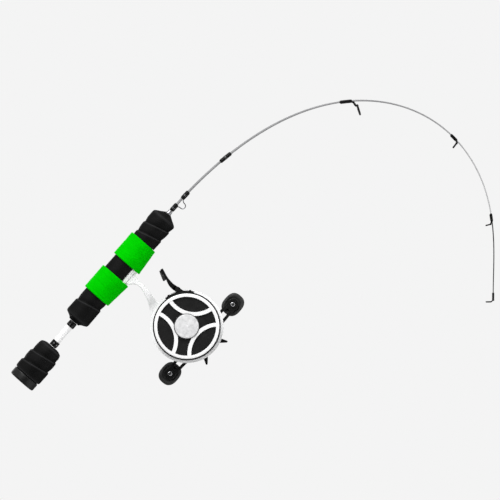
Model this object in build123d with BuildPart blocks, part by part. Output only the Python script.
"""Inline ice-fishing rod and reel, the rod flexed as under a light load.

Frame, in millimetres: the origin is on the handle axis at the middle of the reel seat. +X runs
along the handle to the rod tip, -X to the butt, +Z is up and the reel hangs at -Z. The spool's
open face looks to -Y and the crank is on the +Y side.
"""
from build123d import *
import math
import os

os.makedirs("parts", exist_ok=True)

# ================================================================ driving dimensions
clearance = 0.05             # radial gap of a running part
fit = 0.02                   # radial gap of a seated part

# rod; distances along it start at bend_start and are negative behind it
blank_start = 5.0            # X where the blank starts inside the handle tube
bend_start = 70.0            # X where the bend begins
rod_length = 473.9           # from bend_start to the end, along the bend
splice_at = 397.0            # distance where the black tip section starts
bend_scale = 473.5622767     # distance at which the bend polynomial's variable is 1
bend_terms = (-0.71663, -3.65176, 15.67850, -57.31004, 84.02256, -54.79705, 14.36229)
table_step = 0.25            # spacing of the computed centreline points
table_size = 1900

# distance along the rod, blank radius
blank_radii = ((-80, 1.34), (0, 1.30), (108, 1.10), (192, 0.86), (263, 0.72), (390, 0.60),
               (480, 0.48))

# handle
tube_r = 3.2
tube_bore_r = 2.2
sleeve_bore_r = tube_r + clearance   # bore of what slides on the tube
grip_r = 12.2
seat_flat_z = -9.2
wrap_r = 14.4

# reel: radii about the spool axis
spool_z = -82.8
spool_r = 30.8
band_r = 31.85
face_ring_r = 27.6           # inner radius of the spool face's outer ring
rim_in_r = 32.1
rim_r = 34.4
hub_cap_r = 11.9
lens_r = 25.6                # openings between the spokes
spoke_r = 29.2
lens_offset = 39.5           # lens centres from the spool axis
lens_angles = (30.35, 150.35, 270.35)

# reel: faces along Y
rim_front = 4.0
plate_front = 9.0
plate_back = 12.5
cover_front = plate_back + 0.05
cover_back = 28.5
spool_face_back = -8.5

# shafts, bearings and gears
spool_shaft_r = 2.5
crank_shaft_r = 3.0
crank_bore_r = crank_shaft_r + 0.03  # bore of what is fixed on the crank shaft
spool_bearing_r = 5.5
crank_bushing_r = 5.0
crank_bearing_r = 6.5
anti_reverse_r = 7.0
drive_pin_y = 15.6
gear_module = 0.5
pressure_angle = math.radians(20)
tooth_thinning = 0.03
pinion_teeth = 20
gear_teeth = 50
crank_z = spool_z - gear_module * (pinion_teeth + gear_teeth) / 2

# crank handle
crank_throw = 44.35
crank_tilt = math.radians(-1.16)     # arm angle at rest, from +X towards +Z
knob_dx = crank_throw * math.cos(crank_tilt)
knob_dz = crank_throw * math.sin(crank_tilt)
axle_head_r, axle_r = 2.1, 1.6

spool_axis = Axis((0, 0, spool_z), (0, 1, 0))


# ================================================================ placing helpers
def face_at(y):
    """Plane at Y = y, local x along +X, local y along +Z; extrudes towards -Y."""
    return Plane(origin=(0, y, 0), x_dir=(1, 0, 0), z_dir=(0, -1, 0))


def on_arc(radius, degrees, centre_z=spool_z):
    """(X, Z) at an angle from +X towards +Z, about (0, centre_z)."""
    angle = math.radians(degrees)
    return (radius * math.cos(angle), centre_z + radius * math.sin(angle))


# (X, Z) centres, each a tuple of places
at_origin = ((0.0, 0.0),)
on_spool = ((0.0, spool_z),)
on_crank = ((0.0, crank_z),)
pivot_angle = 55.3           # direction of the trigger pivot from the spool axis
pivot_x, pivot_z = on_arc(35.8, pivot_angle)
on_pivot = ((pivot_x, pivot_z),)
cover_screws_at = tuple(on_arc(29.6, angle) for angle in (0, 120, 240))
bracket_screws_at = tuple(on_arc(33.3, angle) for angle in (36, 72))
yoke_pin_dx, yoke_z = 10, -75.5
yoke_pins_at = ((-yoke_pin_dx, yoke_z), (yoke_pin_dx, yoke_z))


def along_pivot_line(radius, turn_degrees=0.0):
    """Place on a spool radius near the trigger pivot, local x pointing outwards."""
    return Location((*on_arc(radius, pivot_angle + turn_degrees), 0), (0, 0, pivot_angle))


def rod_angle(distance):
    """Direction of the rod, radians from +X."""
    position = max(0.0, distance) / bend_scale
    return sum(term * position ** (k + 1) for k, term in enumerate(bend_terms))


# distance, X, Z along the centreline
rod_table = [(0.0, bend_start, 0.0)]
for _ in range(1, table_size):
    distance, x, z = rod_table[-1]
    angle = rod_angle(distance + table_step / 2)
    rod_table.append((distance + table_step, x + table_step * math.cos(angle),
                      z + table_step * math.sin(angle)))


def rod_point(distance):
    """Rod centreline (X, Z); straight behind the bend."""
    if distance <= 0:
        return (bend_start + distance, 0.0)
    i = min(int(distance / table_step), len(rod_table) - 2)
    start, start_x, start_z = rod_table[i]
    end, end_x, end_z = rod_table[i + 1]
    part = (distance - start) / (end - start)
    return (start_x + part * (end_x - start_x), start_z + part * (end_z - start_z))


def rod_plane(distance):
    """Cross-section plane of the rod."""
    x, z = rod_point(distance)
    angle = rod_angle(distance)
    return Plane(origin=(x, 0, z), x_dir=(0, 1, 0), z_dir=(math.cos(angle), 0, math.sin(angle)))


def guide_plane(distance):
    """Side plane of the rod: local x along the rod, local y to the guide side."""
    x, z = rod_point(distance)
    angle = rod_angle(distance)
    return Plane(origin=(x, 0, z), x_dir=(math.cos(angle), 0, math.sin(angle)), z_dir=(0, 1, 0))


def blank_radius(distance):
    """Radius of the blank, straight between the listed stations."""
    for (start, start_r), (end, end_r) in zip(blank_radii, blank_radii[1:]):
        if distance <= end:
            return start_r + (end_r - start_r) * max(0.0, distance - start) / (end - start)
    return blank_radii[-1][1]


# ================================================================ shape helpers
def save(builder, name):
    """Label a finished piece and write its STEP file."""
    builder.part.label = name
    export_step(builder.part, f"parts/{name}.step")


def discs(plane, centres, radius, depth, bore=0.0, mode=Mode.ADD):
    """Equal discs or rings from a plane along its normal, in the part being built."""
    with BuildSketch(plane) as outline:
        with Locations(*centres):
            Circle(radius)
            if bore:
                Circle(bore, mode=Mode.SUBTRACT)
    extrude(outline.sketch, amount=depth, mode=mode)


def holes(plane, centres, radius, depth, core=0.0):
    """Cut equal holes, or ring grooves around a core, into the part being built."""
    discs(plane, centres, radius, depth, bore=core, mode=Mode.SUBTRACT)


def turn(outline, plane=Plane.XZ, axis=Axis.X, mode=Mode.ADD):
    """Revolve a closed outline, in the part being built."""
    with BuildSketch(plane) as profile:
        with BuildLine():
            Polyline(*outline, close=True)
        make_face()
    revolve(profile.sketch, axis=axis, mode=mode)


def turn_on_spool(outline, mode=Mode.ADD):
    """Revolve (Y, radius) points about the spool axis, in the part being built."""
    turn([(y, spool_z + radius) for y, radius in outline], Plane.YZ, spool_axis, mode)


def rod_core(start, end, gap=fit):
    """The rod between two distances, grown by a gap, to cut out of what sits on it."""
    with BuildPart() as core:
        count = max(2, int((end - start) / 1.5) + 1)
        for i in range(count):
            distance = start + (end - start) * i / (count - 1)
            with BuildSketch(rod_plane(distance)):
                Circle(blank_radius(distance) + gap)
        loft(ruled=True)
    return core.part


def involute(angle):
    """Involute function of a pressure angle."""
    return math.tan(angle) - angle


def gear_outline(teeth, first_tooth, centre_z):
    """Involute gear outline; one tooth is centred on first_tooth, in degrees."""
    pitch_r = gear_module * teeth / 2
    base_r = pitch_r * math.cos(pressure_angle)
    tip_r, root_r = pitch_r + gear_module, pitch_r - 1.25 * gear_module
    half = math.pi / (2 * teeth) - tooth_thinning / pitch_r + involute(pressure_angle)
    start_r = max(base_r, root_r)
    flank = []
    for i in range(4):
        radius = start_r + (tip_r - start_r) * i / 3
        flank.append((radius, half - involute(math.acos(min(1.0, base_r / radius)))))
    if root_r < base_r:
        flank.insert(0, (root_r, flank[0][1]))
    points = []
    for k in range(teeth):
        middle = math.radians(first_tooth) + 2 * math.pi * k / teeth
        points += [(radius, middle - offset) for radius, offset in flank]
        points += [(radius, middle + offset) for radius, offset in reversed(flank)]
    return [(radius * math.cos(angle), radius * math.sin(angle) + centre_z)
            for radius, angle in points]


def wrap_points(base_radius, lump, power):
    """Cross-section of a stretched wrap: round, bulging down over the reel foot."""
    points = []
    for i in range(28):
        angle = 2 * math.pi * i / 28
        radius = base_radius + lump * ((1 + math.cos(angle + math.pi / 2)) / 2) ** power
        points.append((radius * math.cos(angle), radius * math.sin(angle)))
    return points


# ================================================================ rod
with BuildPart() as rod_blank:
    # straight part inside the handle
    for distance in (blank_start - bend_start, 0):
        with BuildSketch(rod_plane(distance)):
            Circle(blank_radius(distance))
    loft(ruled=True)
    # bent part
    for distance in (*range(0, 365, 14), 380, splice_at - 0.05):
        with BuildSketch(rod_plane(distance)):
            Circle(blank_radius(distance))
    loft()
save(rod_blank, "rod_blank")

with BuildPart() as tip_section:
    for distance in (splice_at, 412, 428, 444, 460, rod_length):
        with BuildSketch(rod_plane(distance)):
            Circle(blank_radius(distance))
    loft()
save(tip_section, "tip_section")

# ================================================================ handle
with BuildPart() as handle_tube:
    discs(Plane.YZ.offset(-131), at_origin, radius=tube_r, depth=191, bore=tube_bore_r)
save(handle_tube, "handle_tube")

# two rings that centre the blank in the tube
with BuildPart() as blank_arbors:
    for x in (8, 46):
        discs(Plane.YZ.offset(x), at_origin, radius=tube_bore_r - fit, depth=12, bore=1.38)
save(blank_arbors, "blank_arbors")

# The outlines of the turned handle pieces are (X, radius) points.
butt_cap_r = 13.4
butt_peg_r = 2.15
butt_cap_outline = (
    (-141.5, 0), (-141.5, butt_cap_r), (-133.1, butt_cap_r), (-133.1, butt_peg_r),
    (-123, butt_peg_r), (-123, 0))
with BuildPart() as butt_cap:
    turn(butt_cap_outline)
    fillet(butt_cap.edges().filter_by(GeomType.CIRCLE).sort_by(Axis.X)[:1], 1.4)
save(butt_cap, "butt_cap")

butt_grip_outline = (
    (-133, sleeve_bore_r), (-133, 13.2), (-131.6, 14.3), (-122.6, 14.3), (-121.2, 13.5),
    (-118.6, 13.5), (-117.6, 13.8), (-115.0, 13.4), (-113.4, 12.9), (-109.4, 12.8),
    (-107.0, 12.4), (-103.0, 12.1), (-100.4, 11.7), (-99.2, 11.0), (-98.2, 9.6),
    (-97.3, 7.4), (-97.3, sleeve_bore_r))
with BuildPart() as butt_grip:
    turn(butt_grip_outline)
save(butt_grip, "butt_grip")

# trim rings on the tube: name, butt-end X, length, radius, edge rounding
tube_trims = (
    ("butt_trim", -96.8, 5.8, 3.95, 0.3),
    ("rear_trim", -72.6, 5.6, 4.1, 0.35),
)
for name, x, length, radius, rounding in tube_trims:
    with BuildPart() as trim:
        discs(Plane.YZ.offset(x), at_origin, radius, depth=length, bore=sleeve_bore_r)
        outer_edges = trim.edges().filter_by(GeomType.CIRCLE).group_by(SortBy.RADIUS)[-1]
        fillet(outer_edges, rounding)
    save(trim, name)

nose_bore_r = 1.5            # the grip's bore ahead of the tube
main_grip_outline = (
    (-66.6, sleeve_bore_r), (-66.6, 5.6), (-65.3, 6.6), (-64.0, 8.6), (-62.8, 11.2),
    (-61.8, 12.5), (-60, 12.8), (-56, 12.5), (-47, 12.2), (-41, 12.3), (-34, grip_r),
    (33, grip_r), (38, 12.3), (50, 12.3), (54, 12.8), (60, 12.8), (62, 12.4),
    (63.2, 11.4), (64.2, 9.9), (65.5, 7.2), (66.6, 5.4), (68, 3.5), (68, nose_bore_r),
    (60.1, nose_bore_r), (60.1, sleeve_bore_r))
with BuildPart() as main_grip:
    turn(main_grip_outline)
    # flat seat under the grip for the reel foot
    with BuildSketch(Plane.XY.offset(seat_flat_z)):
        Rectangle(66, 30)
    extrude(amount=-6, mode=Mode.SUBTRACT)
save(main_grip, "main_grip")

front_trim_bore_r = 1.42
front_trim_outline = (
    (68.05, front_trim_bore_r), (68.05, 3.1), (69.2, 2.55), (71.6, 2.2), (71.9, 1.9),
    (71.9, front_trim_bore_r))
with BuildPart() as front_trim:
    turn(front_trim_outline)
save(front_trim, "front_trim")

# ================================================================ reel frame
# stem side view, (X, Z) from the top down
stem_butt_side = (
    (-7.4, -13.6), (-5.6, -16.6), (-3.1, -18.9), (-1.3, -23.8), (-3.2, -32.5),
    (-6.6, -39.7), (-11.5, -46.8), (-17.6, -54.4))
stem_tip_side = (
    (5.4, -13.6), (3.6, -16.0), (2.9, -18.9), (2.5, -24.8), (2.0, -32.2),
    (0.3, -39.4), (-0.8, -47.5), (-1.2, -54.4))
# stem seen along X, (Y, Z) from the top down
stem_spool_side = (
    (-6.2, -13.6), (-5.4, -17.0), (-4.4, -23.8), (-2.6, -32.5), (0.6, -40.5),
    (3.2, -45.5), (4.0, -49.0), (4.0, -54.4))
stem_crank_side = (
    (6.2, -13.6), (6.6, -17.0), (8.0, -24.0), (10.0, -32.5), (11.8, -40.5),
    (12.4, -45.5), (12.5, -49.0), (12.5, -54.4))

# stem: where the two views' extrusions meet
with BuildPart() as stem_core:
    with BuildSketch(face_at(20)):
        with BuildLine():
            left = Spline(*stem_butt_side)
            right = Spline(*stem_tip_side)
            Line(left @ 0, right @ 0)
            Line(left @ 1, right @ 1)
        make_face()
    extrude(amount=40)
    with BuildSketch(Plane.YZ.offset(-25)):
        with BuildLine():
            left = Spline(*stem_spool_side)
            right = Spline(*stem_crank_side)
            Line(left @ 0, right @ 0)
            Line(left @ 1, right @ 1)
        make_face()
    extrude(amount=50, mode=Mode.INTERSECT)
    fillet(stem_core.edges().filter_by(lambda e: e.bounding_box().size.Z > 25), 0.9)

# foot: a plate tapered towards both ends, its underside inside the wraps' bore
foot_length, foot_width = 62, 14
foot_end_z, foot_middle_z = -11.0, -14.6
with BuildPart() as foot_core:
    with BuildSketch(face_at(8)):
        with BuildLine():
            Polyline((-foot_length / 2, seat_flat_z - 0.05), (foot_length / 2, seat_flat_z - 0.05),
                     (foot_length / 2, foot_end_z), (8, foot_middle_z), (-8, foot_middle_z),
                     (-foot_length / 2, foot_end_z), close=True)
        make_face()
    extrude(amount=16)
    with BuildSketch(Plane.XY.offset(-5)):
        SlotOverall(foot_length, foot_width)
    extrude(amount=-12, mode=Mode.INTERSECT)
    # X, share of the full bulge
    for x, bulge in ((-34.5, 0.0), (-8.0, 1.0), (7.0, 1.0), (33.0, 0.0)):
        with BuildSketch(Plane.YZ.offset(x)):
            with BuildLine():
                Spline(*wrap_points(grip_r + 0.04, 2.5 * bulge, 9), periodic=True)
            make_face()
    loft(ruled=True, mode=Mode.INTERSECT)

barrel_groove_r = 2.75       # groove round the trigger barrel, in frame and cover
with BuildPart() as reel_frame:
    # back plate and the bearing boss on its crank side
    discs(face_at(plate_back), on_spool, radius=rim_r, depth=plate_back - plate_front)
    discs(face_at(14.2), on_spool, radius=7.6, depth=4)
    add(foot_core.part)
    add(stem_core.part)
    # rim around the spool
    discs(face_at(plate_front), on_spool, radius=rim_r, depth=plate_front - rim_front)
    holes(face_at(plate_front), on_spool, radius=rim_in_r, depth=14)
    # spool bearing pocket, open to -Y, with a lip at its +Y end
    holes(face_at(13.1), on_spool, radius=spool_bearing_r + fit, depth=5)
    holes(face_at(14.3), on_spool, radius=4.2, depth=3)
    # crank bushing pocket
    holes(face_at(plate_back), on_crank, radius=crank_bushing_r + fit, depth=2.9)
    # cover screws and yoke pins
    holes(face_at(plate_back), cover_screws_at, radius=1.3, depth=2.6)
    holes(face_at(plate_back), yoke_pins_at, radius=1.0 + fit, depth=2.6)
    # bracket screws in the rim's -Y face
    holes(face_at(8.2), bracket_screws_at, radius=0.75, depth=5)
    holes(face_at(14), on_pivot, radius=barrel_groove_r, depth=12)
save(reel_frame, "reel_frame")

# ================================================================ gear cover
# inside of the cover, (Y, radius) about the spool axis
cavity_outline = (
    (12.0, 0), (12.0, 32.4), (21.5, 32.4), (24.6, 31.2), (26.0, 29.0), (26.5, 26.0), (26.5, 0))
with BuildPart() as gear_cover:
    turn_on_spool(((cover_front, 0), (cover_front, rim_r), (cover_back, rim_r), (cover_back, 0)))
    fillet(gear_cover.edges().filter_by(GeomType.CIRCLE).group_by(Axis.Y)[-1], 7.0)
    turn_on_spool(cavity_outline, mode=Mode.SUBTRACT)
    # neck for the crank bearings
    discs(face_at(31.4), on_crank, radius=9, depth=7.4)
    # boss for the crank-side spool bearing and the drop-speed dial
    discs(face_at(30.6), on_spool, radius=7.2, depth=3.5)
    # screw bosses
    discs(face_at(24.5), cover_screws_at, radius=2.7, depth=11.95)
    # lug for the crank-side end of the trigger pin
    with BuildSketch(face_at(25.3)):
        with Locations(along_pivot_line(33.4)):
            SlotOverall(11.2, 5.6)
    extrude(amount=1.8)
    # bearing bores
    holes(face_at(28.0), on_crank, radius=anti_reverse_r + fit, depth=5)
    holes(face_at(32), on_crank, radius=crank_bearing_r + fit, depth=3.6)
    holes(face_at(32), on_crank, radius=4.6, depth=7)
    holes(face_at(32), on_spool, radius=spool_bearing_r + fit, depth=7)
    # screw shanks and heads
    holes(face_at(25), cover_screws_at, radius=1.3, depth=14)
    holes(face_at(30), cover_screws_at, radius=2.5, depth=8)
    # trigger pin, groove for the trigger barrel and window for its finger
    holes(face_at(26), on_pivot, radius=1.0 + fit, depth=3)
    holes(face_at(23.5), on_pivot, radius=barrel_groove_r, depth=12)
    with BuildSketch(face_at(22.9)):
        with Locations(along_pivot_line(32.6, turn_degrees=-1.0)):
            Rectangle(7.0, 4.6)
    extrude(amount=2.5, mode=Mode.SUBTRACT)
save(gear_cover, "gear_cover")

with BuildPart() as cover_screws:
    discs(face_at(24.0), cover_screws_at, radius=2.3, depth=1.95)
    discs(face_at(22.5), cover_screws_at, radius=1.25, depth=12.3)
    # cross recess
    with BuildSketch(face_at(24.1)):
        with Locations(*cover_screws_at):
            Rectangle(2.8, 0.6)
            Rectangle(0.6, 2.8)
    extrude(amount=0.9, mode=Mode.SUBTRACT)
save(cover_screws, "cover_screws")

# ================================================================ trigger
bracket_in_r, bracket_out_r = 31.2, 33.6
bracket_angles = (30, 54.25, 78.5)
# (X, Z) from the rim up to the pivot and back
bracket_lug = (
    (17.55, pivot_z + 0.2), (16.9, -54.9), (18.5, -57.6), (22.4, -60.0), (23.5, -59.6),
    (22.95, -56.6), (22.85, pivot_z - 0.1))
with BuildPart() as trigger_bracket:
    with BuildSketch(face_at(3.95)):
        # arc strip on the rim
        with BuildLine():
            outer = [on_arc(bracket_out_r, angle) for angle in bracket_angles]
            inner = [on_arc(bracket_in_r, angle) for angle in reversed(bracket_angles)]
            ThreePointArc(*outer)
            Line(outer[2], inner[0])
            ThreePointArc(*inner)
            Line(inner[2], outer[0])
        make_face()
        # lug up to the pivot
        with BuildLine():
            Polyline(*bracket_lug, close=True)
        make_face()
        with Locations(*on_pivot):
            Circle(2.62)
        # ears for the screws and the straight finger
        with Locations(*bracket_screws_at):
            Circle(1.25)
        with BuildLine():
            Polyline(on_arc(bracket_out_r, 44), (28.5, -65.2), (27.4, -67.0), on_arc(31.4, 36),
                     close=True)
        make_face()
        with Locations(*on_pivot):
            Circle(1.0 + fit, mode=Mode.SUBTRACT)
        with Locations(*bracket_screws_at):
            Circle(0.75, mode=Mode.SUBTRACT)
    extrude(amount=2.25)
save(trigger_bracket, "trigger_bracket")

with BuildPart() as bracket_screws:
    discs(face_at(1.65), bracket_screws_at, radius=1.0, depth=0.6)
    discs(face_at(8.0), bracket_screws_at, radius=0.7, depth=6.5)
save(bracket_screws, "bracket_screws")

with BuildPart() as trigger_pin:
    discs(face_at(25.2), on_pivot, radius=1.0, depth=24.2)
    discs(face_at(1.65), on_pivot, radius=1.7, depth=0.65)
save(trigger_pin, "trigger_pin")

# upper blade edges, (X, Z) from the bottom up
blade_tip_side = (
    (21.9, -49.0), (21.8, -46.6), (22.15, -42.4), (22.85, -38.6), (24.4, -34.2), (26.0, -29.7))
blade_butt_side = (
    (17.35, -49.0), (17.5, -46.4), (18.6, -42.6), (20.0, -39.6), (21.6, -34.6), (23.5, -29.0))
with BuildPart() as blade_core:
    with BuildSketch(face_at(11.0)):
        with BuildLine():
            right = Spline(*blade_tip_side)
            left = Spline(*blade_butt_side)
            Line(right @ 0, left @ 0)
            Line(right @ 1, left @ 1)
        make_face()
    extrude(amount=12.5)
    fillet(blade_core.edges().filter_by(Axis.Y).group_by(Axis.Z)[-1], 0.55)

with BuildPart() as trigger_lever:
    # barrel
    discs(face_at(23.3), on_pivot, radius=2.4, depth=19.2)
    # lower blade
    with BuildSketch(face_at(11.0)):
        with BuildLine():
            Polyline((22.75, pivot_z), (22.35, -51.0), (21.8, -47.0), (17.45, -47.0),
                     (17.3, -50.4), (17.95, pivot_z), close=True)
        make_face()
    extrude(amount=6.9)
    add(blade_core.part)
    # finger that reaches into the gear housing
    with BuildSketch(face_at(22.6)):
        with Locations(along_pivot_line(29.9)):
            Rectangle(12.6, 3.0)
    extrude(amount=1.9)
    holes(face_at(23.4), on_pivot, radius=1.0 + clearance, depth=20)
save(trigger_lever, "trigger_lever")

# pad on the blade's butt side, (X, Z): edge under the blade, then the stepped grip
pad_blade_side = ((20.70, -38.9), (21.35, -35.1), (22.15, -32.5), (23.2, -29.75))
pad_steps = (
    (22.1, -28.9), (21.45, -30.2), (20.95, -30.55), (20.75, -31.55), (20.25, -31.9),
    (20.05, -32.9), (19.55, -33.25), (19.35, -34.25), (18.85, -34.6), (18.65, -35.6),
    (18.15, -35.95), (17.95, -36.95), (17.45, -37.6), (18.0, -38.5))
with BuildPart() as trigger_pad:
    with BuildSketch(face_at(10.6)):
        with BuildLine():
            blade_side = Spline(*pad_blade_side)
            Polyline(blade_side @ 1, *pad_steps, blade_side @ 0)
        make_face()
    extrude(amount=11.7)
    add(trigger_lever.part, mode=Mode.SUBTRACT)
save(trigger_pad, "trigger_pad")

# ================================================================ bearings
bearing_width = 3.4
shield_groove = 0.3          # depth of the ring groove in a bearing face
with BuildPart() as spool_bearings:
    for y in (9.05, 27.1):
        discs(face_at(y + bearing_width), on_spool, radius=spool_bearing_r, depth=bearing_width,
              bore=spool_shaft_r + clearance)
        for groove_y in (y + shield_groove, y + bearing_width):
            holes(face_at(groove_y), on_spool, radius=4.7, depth=shield_groove, core=3.3)
save(spool_bearings, "spool_bearings")

with BuildPart() as crank_bearings:
    discs(face_at(12.45), on_crank, radius=crank_bushing_r, depth=2.8,
          bore=crank_shaft_r + clearance)
    discs(face_at(31.35), on_crank, radius=crank_bearing_r, depth=2.9,
          bore=crank_shaft_r + clearance)
    holes(face_at(31.35), on_crank, radius=5.7, depth=shield_groove, core=4.0)
save(crank_bearings, "crank_bearings")

# ================================================================ spool
# (Y, radius) about the spool axis
spool_outline = (
    (-5.9, 2.51), (-5.9, 4.6), (-4.6, 8.0), (-6.4, 23.0), (-6.8, 24.2), (-8.45, 24.2),
    (-8.45, 30.0), (-6.9, 30.0), (-6.6, spool_r - 0.4), (-6.2, 30.0), (-5.2, 25.6), (-4.4, 24.6),
    (4.4, 24.6), (5.4, 25.8), (6.4, spool_r - 0.7), (6.9, spool_r), (7.7, spool_r),
    (8.0, spool_r - 0.4), (7.0, 24.5), (5.4, 22.6), (-3.4, 22.0), (-2.6, 6.2), (6.6, 4.6),
    (8.6, 4.0), (8.6, 2.51))
with BuildPart() as spool:
    turn_on_spool(spool_outline)
save(spool, "spool")

# black guard band round the spool's -Y flange
with BuildPart() as spool_band:
    discs(face_at(-6.95), on_spool, radius=band_r, depth=1.5, bore=30.05)
    chamfer(spool_band.edges().filter_by(GeomType.CIRCLE).group_by(SortBy.RADIUS)[-1], 0.25)
save(spool_band, "spool_band")

lenses_at = tuple(on_arc(lens_offset, angle) for angle in lens_angles)
with BuildPart() as spool_face:
    # spokes and hub
    with BuildSketch(face_at(-9.1)):
        with Locations(*lenses_at):
            Circle(spoke_r)
        with Locations(*lenses_at):
            Circle(lens_r, mode=Mode.SUBTRACT)
        with Locations(*on_spool):
            Circle(face_ring_r + 0.5, mode=Mode.INTERSECT)
            Circle(11.4)
    extrude(amount=1.5)
    # outer ring
    discs(face_at(spool_face_back), on_spool, radius=30.65, depth=2.3, bore=face_ring_r)
    front_circles = spool_face.edges().group_by(Axis.Y)[0].filter_by(GeomType.CIRCLE)
    fillet(front_circles.group_by(SortBy.RADIUS)[-1], 1.2)
    # hole for the hub cap's peg
    holes(face_at(-8), on_spool, radius=1.65, depth=3)
save(spool_face, "spool_face")

with BuildPart() as spool_insert:
    discs(face_at(spool_face_back), on_spool, radius=27.5, depth=0.58, bore=5.0)
save(spool_insert, "spool_insert")

hub_cap_outline = (
    (-10.65, 0), (-10.65, hub_cap_r), (-11.2, hub_cap_r), (-11.85, 11.3), (-12.1, 10.4),
    (-12.3, 0))
with BuildPart() as hub_cap:
    turn_on_spool(hub_cap_outline)
    # peg into the shaft's recess
    discs(face_at(-6.0), on_spool, radius=1.6, depth=4.8)
save(hub_cap, "hub_cap")

with BuildPart() as spool_shaft:
    discs(face_at(30.9), on_spool, radius=spool_shaft_r, depth=36.9)
    # flange, and the recess for the hub cap's peg
    discs(face_at(-5.95), on_spool, radius=4.4, depth=0.95)
    holes(face_at(-5.0), on_spool, radius=1.7, depth=3)
    # cross hole for the drive pin
    holes(Plane.YZ.offset(-4), ((drive_pin_y, spool_z),), radius=0.6 + fit, depth=8)
save(spool_shaft, "spool_shaft")

with BuildPart() as drive_pin:
    discs(Plane.YZ.offset(-4.1), ((drive_pin_y, spool_z),), radius=0.6, depth=8.2)
save(drive_pin, "drive_pin")

# ================================================================ pinion and clutch yoke
with BuildPart() as pinion_gear:
    # toothed part, a tooth pointing down at the crank axis
    with BuildSketch(face_at(22.6)):
        with Locations(*on_spool):
            with BuildLine():
                Polyline(*gear_outline(pinion_teeth, 270, spool_z), close=True)
            make_face()
    extrude(amount=6.0)
    # collar on the spool side, then neck and flange on the crank side
    discs(face_at(16.6), on_spool, radius=4.3, depth=1.8)
    discs(face_at(24.25), on_spool, radius=3.6, depth=1.7)
    discs(face_at(25.2), on_spool, radius=4.6, depth=0.95)
    holes(face_at(26), on_spool, radius=spool_shaft_r + clearance, depth=12)
    # dog slot for the drive pin
    with BuildSketch(face_at(16.4)):
        with Locations(*on_spool):
            Rectangle(12, 1.36)
    extrude(amount=2, mode=Mode.SUBTRACT)
save(pinion_gear, "pinion_gear")

yoke_slot_r = 3.68           # fork opening round the pinion's neck
with BuildPart() as clutch_yoke:
    with BuildSketch(face_at(24.0)):
        with Locations(*on_spool):
            Circle(7.2)
        with Locations((0, yoke_z)):
            RectangleRounded(26, 6.4, 3.0)
        # arm towards the trigger
        with Locations(along_pivot_line(15.0)):
            SlotOverall(17.5, 5.0)
        # fork, open downwards
        with Locations(*on_spool):
            Circle(yoke_slot_r, mode=Mode.SUBTRACT)
        with Locations((0, spool_z - 6)):
            Rectangle(2 * yoke_slot_r, 12, mode=Mode.SUBTRACT)
        with Locations(*yoke_pins_at):
            Circle(1.06, mode=Mode.SUBTRACT)
    extrude(amount=1.2)
save(clutch_yoke, "clutch_yoke")

with BuildPart() as yoke_pins:
    discs(face_at(26.4), yoke_pins_at, radius=1.0, depth=16.4)
save(yoke_pins, "yoke_pins")

with BuildPart() as yoke_springs:
    for x, z in yoke_pins_at:
        with BuildLine() as coil:
            Helix(pitch=0.62, height=2.05, radius=1.45, center=(x, 24.2, z), direction=(0, 1, 0))
        with BuildSketch(Plane(origin=coil.line @ 0, z_dir=coil.line % 0)):
            Circle(0.17)
        sweep(path=coil.line, is_frenet=True)
save(yoke_springs, "yoke_springs")

# ================================================================ crank
with BuildPart() as crank_shaft:
    discs(face_at(45.6), on_crank, radius=crank_shaft_r, depth=35.8)
    # flange that backs the drag stack
    discs(face_at(15.9), on_crank, radius=8, depth=1.5)
save(crank_shaft, "crank_shaft")

# a tooth gap points up at the pinion
with BuildPart() as drive_gear:
    with BuildSketch(face_at(20.9)):
        with BuildLine():
            Polyline(*gear_outline(gear_teeth, 90 + 180 / gear_teeth, crank_z), close=True)
        make_face()
    extrude(amount=4.4)
    holes(face_at(21), on_crank, radius=crank_bore_r, depth=5)
save(drive_gear, "drive_gear")

drag_r = 8.4
with BuildPart() as drag_washers:
    for y in (16.45, 21.45):
        discs(face_at(y), on_crank, radius=drag_r, depth=0.5, bore=crank_shaft_r + 0.1)
save(drag_washers, "drag_washers")

# plain rings on the crank shaft: name, +Y face, thickness, radius, bore
crank_rings = (
    ("anti_reverse_bearing", 27.95, 3.85, anti_reverse_r, crank_shaft_r + clearance),
    ("pressure_plate", 22.6, 1.1, drag_r, crank_bore_r),
    ("crank_spacer", 24.0, 1.35, 4.4, crank_bore_r),
)
for name, y, thickness, radius, bore in crank_rings:
    with BuildPart() as crank_ring:
        discs(face_at(y), on_crank, radius, depth=thickness, bore=bore)
    save(crank_ring, name)

# one arm of the star: radius, angle from the arm's middle
star_arm = (
    (5.8, 30), (13.5, 12.5), (19.0, 6.4), (24.0, 1.7), (25.0, 0.6),
    (25.1, -1.4), (24.2, -3.0), (19.0, -6.0), (13.0, -10.5), (5.8, -30))
with BuildPart() as star_drag:
    with BuildSketch(face_at(38.0)):
        for middle in (-54, 18, 90, 162, 234):
            with BuildLine():
                Polyline(*[on_arc(radius, middle + offset, crank_z)
                           for radius, offset in star_arm], close=True)
            make_face()
        with Locations(*on_crank):
            Circle(7.5)
    extrude(amount=3.0)
    discs(face_at(38.4), on_crank, radius=6.2, depth=6.4)
    holes(face_at(39), on_crank, radius=crank_shaft_r + clearance, depth=9)
save(star_drag, "star_drag")

# local x runs along the arm
arm_plane = Plane(origin=(0, 41.5, crank_z),
                  x_dir=(math.cos(crank_tilt), 0, math.sin(crank_tilt)), z_dir=(0, -1, 0))
arm_ends = ((-crank_throw, 0), (crank_throw, 0))
arm_half_width, arm_end_half_width = 6.3, 4.7
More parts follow.
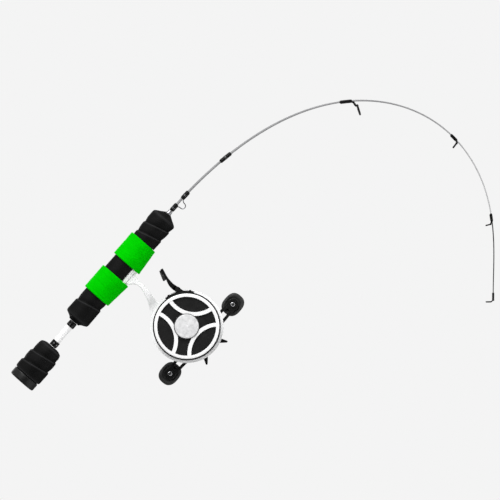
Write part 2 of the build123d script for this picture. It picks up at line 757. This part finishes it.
# slot outline on one side: distance from the middle, across
arm_slot = (
    (10.5, 2.9), (36.5, 2.1), (38.2, 0.9), (38.2, -0.9),
    (36.5, -2.1), (10.5, -2.9), (9.0, -1.5), (9.0, 1.5))
with BuildPart() as handle_arm:
    with BuildSketch(arm_plane):
        with BuildLine():
            Polyline((-crank_throw, arm_end_half_width), (0, arm_half_width),
                     (crank_throw, arm_end_half_width), (crank_throw, -arm_end_half_width),
                     (0, -arm_half_width), (-crank_throw, -arm_end_half_width), close=True)
        make_face()
        with Locations(*arm_ends):
            Circle(5.6)
        Circle(8.0)
        for side in (-1, 1):
            with BuildLine():
                Polyline(*[(side * x, across) for x, across in arm_slot], close=True)
            make_face(mode=Mode.SUBTRACT)
        with Locations(*arm_ends):
            Circle(1.68, mode=Mode.SUBTRACT)
        Circle(crank_bore_r, mode=Mode.SUBTRACT)
    extrude(amount=2.5)
    chamfer(handle_arm.faces().sort_by(Axis.Y)[0].outer_wire().edges(), 0.4)
save(handle_arm, "handle_arm")

with BuildPart() as handle_nut:
    with BuildSketch(face_at(46.2)):
        with Locations(*on_crank):
            RegularPolygon(5.0, 6)
    extrude(amount=4.6)
    holes(face_at(45.65), on_crank, radius=crank_bore_r, depth=5)
    chamfer(handle_nut.faces().sort_by(Axis.Y)[-1].edges(), 0.5)
save(handle_nut, "handle_nut")

with BuildPart() as knob_axles:
    # head on the arm's -Y face, shank, then the end disc inside the knob
    discs(arm_plane.offset(2.55), arm_ends, radius=axle_head_r, depth=0.9)
    fillet(knob_axles.edges().group_by(Axis.Y)[0], 0.5)
    discs(arm_plane.offset(-19.5), arm_ends, radius=axle_r, depth=22.2)
    discs(arm_plane.offset(-19.6), arm_ends, radius=2.6, depth=1.1)
save(knob_axles, "knob_axles")

# Y, width
knob_sections = (
    (42.3, 15.4), (43.2, 18.2), (45.2, 18.6), (49.0, 15.4), (54.0, 14.8), (58.5, 17.0),
    (61.5, 16.4), (63.0, 12.6))
for side, name in ((1, "knob_front"), (-1, "knob_rear")):
    knob_at = (side * knob_dx, crank_z + side * knob_dz)
    with BuildPart() as knob:
        for y, width in knob_sections:
            with BuildSketch(Plane(origin=(knob_at[0], y, knob_at[1]), x_dir=(1, 0, 0),
                                   z_dir=(0, 1, 0))):
                RectangleRounded(width * 1.19, width, width * 0.46)
        loft()
        holes(face_at(63.5), (knob_at,), radius=1.66, depth=22)
        holes(face_at(64), (knob_at,), radius=2.8, depth=4.2)
    save(knob, name)

dial_notches = 20
dial_notches_at = [on_arc(8.15, i * 360 / dial_notches) for i in range(dial_notches)]
with BuildPart() as drop_speed_dial:
    discs(face_at(33.2), on_spool, radius=8.0, depth=4.5)
    holes(face_at(31.5), on_spool, radius=7.27, depth=4)
    holes(face_at(34), dial_notches_at, radius=0.55, depth=4)
    # button inside the dial
    discs(face_at(31.5), on_spool, radius=2.4, depth=0.5)
save(drop_speed_dial, "drop_speed_dial")

# ================================================================ reel wraps
# name, X away from the stem (no bulge), X at the stem (full bulge)
reel_wraps = (("reel_wrap_rear", -34.5, -8.0), ("reel_wrap_front", 33.0, 7.0))
for name, outer_x, inner_x in reel_wraps:
    overshoot = 0.01 if inner_x > outer_x else -0.01
    with BuildPart() as reel_wrap:
        for x, bulge in ((outer_x, 0.0), (inner_x, 1.0)):
            with BuildSketch(Plane.YZ.offset(x)):
                with BuildLine():
                    Spline(*wrap_points(wrap_r, -0.1 + 2.5 * bulge, 6), periodic=True)
                make_face()
        loft()
        for x, bulge in ((outer_x - overshoot, 0.0), (inner_x + overshoot, 1.0)):
            with BuildSketch(Plane.YZ.offset(x)):
                with BuildLine():
                    Spline(*wrap_points(grip_r + 0.14, 2.55 * bulge, 9), periodic=True)
                make_face()
        loft(mode=Mode.SUBTRACT)
    save(reel_wrap, name)

# ================================================================ thread wraps and hook keeper
# start and end distance along the rod, radius
trim_spans = ((4.6, 6.2, 2.22), (20.8, 22.2, 2.16), (73.2, 74.6, 2.02))
with BuildPart() as trim_bands:
    for start, end, radius in trim_spans:
        with BuildPart(mode=Mode.PRIVATE) as band:
            for distance in (start, end):
                with BuildSketch(rod_plane(distance)):
                    Circle(radius)
            loft()
            for distance in (start - 0.1, end + 0.1):
                with BuildSketch(rod_plane(distance)):
                    Circle(radius - 0.3)
            loft(mode=Mode.SUBTRACT)
        add(band.part)
save(trim_bands, "trim_bands")

# a wire loop under the rod whose feet lie under the two keeper wraps
keeper_points = (
    (74.0, 0, -1.62), (78.0, 0, -1.75), (79.6, 0, -3.2), (80.0, 0, -6.2), (82.4, 0, -8.0),
    (84.9, 0, -6.8), (85.6, 0, -4.0), (86.8, 0, -2.35), (89.0, 0, -2.12), (93.0, 0, -2.2))
with BuildPart() as hook_keeper:
    with BuildLine() as keeper_wire:
        Spline(*keeper_points)
    with BuildSketch(Plane(origin=keeper_wire.line @ 0, z_dir=keeper_wire.line % 0)):
        Circle(0.45)
    sweep(path=keeper_wire.line)
    add(rod_core(0, 28), mode=Mode.SUBTRACT)
    add(trim_bands.part, mode=Mode.SUBTRACT)
save(hook_keeper, "hook_keeper")

# distance along the rod, radius
keeper_wrap_sections = (
    ((2.2, 1.7), (3.2, 2.2), (9.4, 2.2), (10.4, 1.7)),
    ((17.4, 1.7), (18.4, 2.1), (25.4, 2.05), (26.4, 1.6)),
)
with BuildPart() as keeper_wraps:
    for sections in keeper_wrap_sections:
        for distance, radius in sections:
            with BuildSketch(rod_plane(distance)):
                Circle(radius)
        loft(ruled=True)
    add(rod_core(0, 28), mode=Mode.SUBTRACT)
    add(trim_bands.part, mode=Mode.SUBTRACT)
    add(hook_keeper.part, mode=Mode.SUBTRACT)
save(keeper_wraps, "keeper_wraps")

with BuildPart() as accent_wrap:
    for distance, radius in ((67.4, 1.5), (68.6, 1.95), (79.0, 1.95), (80.2, 1.5)):
        with BuildSketch(rod_plane(distance)):
            Circle(radius)
    loft(ruled=True)
    add(rod_core(66, 82), mode=Mode.SUBTRACT)
    add(trim_bands.part, mode=Mode.SUBTRACT)
save(accent_wrap, "accent_wrap")

# ================================================================ line guides
insert_length = 1.1          # ring inserts, along the line
insert_wall = 0.55
# name, distance of the foot's butt end, foot length, ring centre forward of the foot's tip end
# and its height, ring radius, forward lean in degrees, wire radius
guide_table = (
    ("guide_1", 196.0, 11.4, 4.7, 9.15, 4.2, 14.0, 0.92),
    ("guide_2", 308.7, 8.0, 0.9, 4.5, 2.35, 10.0, 0.82),
    ("guide_3", 393.6, 7.6, 1.4, 4.0, 2.15, 8.0, 0.62),
)
for name, foot_at, foot_len, forward, height, ring_r, lean, wire_r in guide_table:
    leg_at = foot_at + foot_len
    base = guide_plane(leg_at)
    local_centre = Vector(forward, height, 0)
    ring_centre = base.from_local_coords(local_centre)
    ring_dir = (base.from_local_coords(local_centre + Vector(1, 0, 0).rotate(Axis.Z, -lean))
                - ring_centre)
    ring_plane = Plane(origin=ring_centre, x_dir=(0, 1, 0), z_dir=ring_dir)
    rod_r = blank_radius(leg_at)
    with BuildPart() as guide_frame:
        # foot on the blank
        with BuildSketch(guide_plane(foot_at + foot_len / 2)):
            with Locations((0, rod_r + 0.28)):
                RectangleRounded(foot_len, 0.9, 0.3)
        extrude(amount=0.7, both=True)
        # leg from the foot to the bottom of the ring
        ring_foot = local_centre + Vector(0, -ring_r - 0.4 * wire_r, 0).rotate(Axis.Z, -lean)
        leg_end_angle = math.radians(lean + 14)
        with BuildLine(base) as leg:
            Spline((-2.2, rod_r + 0.38), (0.0, rod_r + 0.6), (ring_foot.X, ring_foot.Y),
                   tangents=((1, 0), (math.sin(leg_end_angle), math.cos(leg_end_angle))))
        with BuildSketch(Plane(origin=leg.line @ 0, z_dir=leg.line % 0)):
            Circle(wire_r * 1.1)
        sweep(path=leg.line)
        # ball where the leg meets the ring
        with Locations(base.from_local_coords(ring_foot)):
            Sphere(wire_r * 1.38)
        # ring holder
        with BuildSketch(Plane(origin=ring_centre, x_dir=ring_dir, z_dir=(0, 1, 0))):
            with Locations((0, ring_r)):
                Circle(wire_r)
        revolve(axis=Axis(ring_centre, ring_dir))
        holes(ring_plane.offset(-2), at_origin, radius=ring_r - 0.28, depth=4)
        add(rod_core(foot_at - 3, leg_at + 6), mode=Mode.SUBTRACT)
    save(guide_frame, name + "_frame")

    with BuildPart() as guide_insert:
        discs(ring_plane.offset(-insert_length / 2), at_origin, radius=ring_r - 0.3,
              depth=insert_length, bore=ring_r - 0.3 - insert_wall)
        fillet(guide_insert.edges().filter_by(GeomType.CIRCLE).group_by(SortBy.RADIUS)[0], 0.2)
    save(guide_insert, name + "_insert")

with BuildPart() as guide_wraps:
    for name, foot_at, foot_len, forward, height, ring_r, lean, wire_r in guide_table:
        rod_r = blank_radius(foot_at)
        start, end = foot_at - 1.2, foot_at + foot_len - 1.4
        # distance, thickness over the blank
        for distance, thickness in ((start, 0.12), (start + 1.0, 0.62), (end - 1.0, 0.66),
                                    (end, 0.3)):
            with BuildSketch(rod_plane(distance)):
                Circle(rod_r + thickness)
        loft(ruled=True)
        add(rod_core(start - 2, end + 2), mode=Mode.SUBTRACT)
        # slot along the top for the guide's foot
        with BuildSketch(guide_plane((start + end) / 2)):
            with Locations((0, 2.5)):
                Rectangle(foot_len + 8, 5)
        extrude(amount=max(0.74, wire_r * 1.1 + 0.03), both=True, mode=Mode.SUBTRACT)
save(guide_wraps, "guide_wraps")

# ================================================================ tip top
tip_insert_r = 2.0
tip_forward, tip_height = 1.5, 4.3   # ring centre from the end of the rod
tip_base = guide_plane(rod_length)
tip_centre = tip_base.from_local_coords(Vector(tip_forward, tip_height, 0))
tip_dir = tip_base.from_local_coords(Vector(tip_forward + 1, tip_height, 0)) - tip_centre
tip_ring_plane = Plane(origin=tip_centre, x_dir=(0, 1, 0), z_dir=tip_dir)
with BuildPart() as tip_top_frame:
    # sleeve over the rod's end
    discs(rod_plane(rod_length - 7.0), at_origin, radius=1.05, depth=7.6)
    # leg
    with BuildLine(tip_base) as tip_leg:
        Spline((-2.0, 0.75), (0.6, 0.95), (1.5, 2.1), tangents=((1, 0), (0.1, 1)))
    with BuildSketch(Plane(origin=tip_leg.line @ 0, z_dir=tip_leg.line % 0)):
        Circle(0.55)
    sweep(path=tip_leg.line)
    # ring holder
    with BuildSketch(Plane(origin=tip_centre, x_dir=tip_dir, z_dir=(0, 1, 0))):
        with Locations((0, 2.3)):
            Circle(0.62)
    revolve(axis=Axis(tip_centre, tip_dir))
    holes(tip_ring_plane.offset(-2), at_origin, radius=tip_insert_r + fit, depth=4)
    # bore for the rod
    holes(rod_plane(rod_length - 7.2), at_origin, radius=0.62, depth=7.3)
    add(tip_section.part, mode=Mode.SUBTRACT)
save(tip_top_frame, "tip_top_frame")

with BuildPart() as tip_top_insert:
    discs(tip_ring_plane.offset(-insert_length / 2), at_origin, radius=tip_insert_r,
          depth=insert_length, bore=tip_insert_r - insert_wall)
    fillet(tip_top_insert.edges().filter_by(GeomType.CIRCLE).group_by(SortBy.RADIUS)[0], 0.2)
save(tip_top_insert, "tip_top_insert")
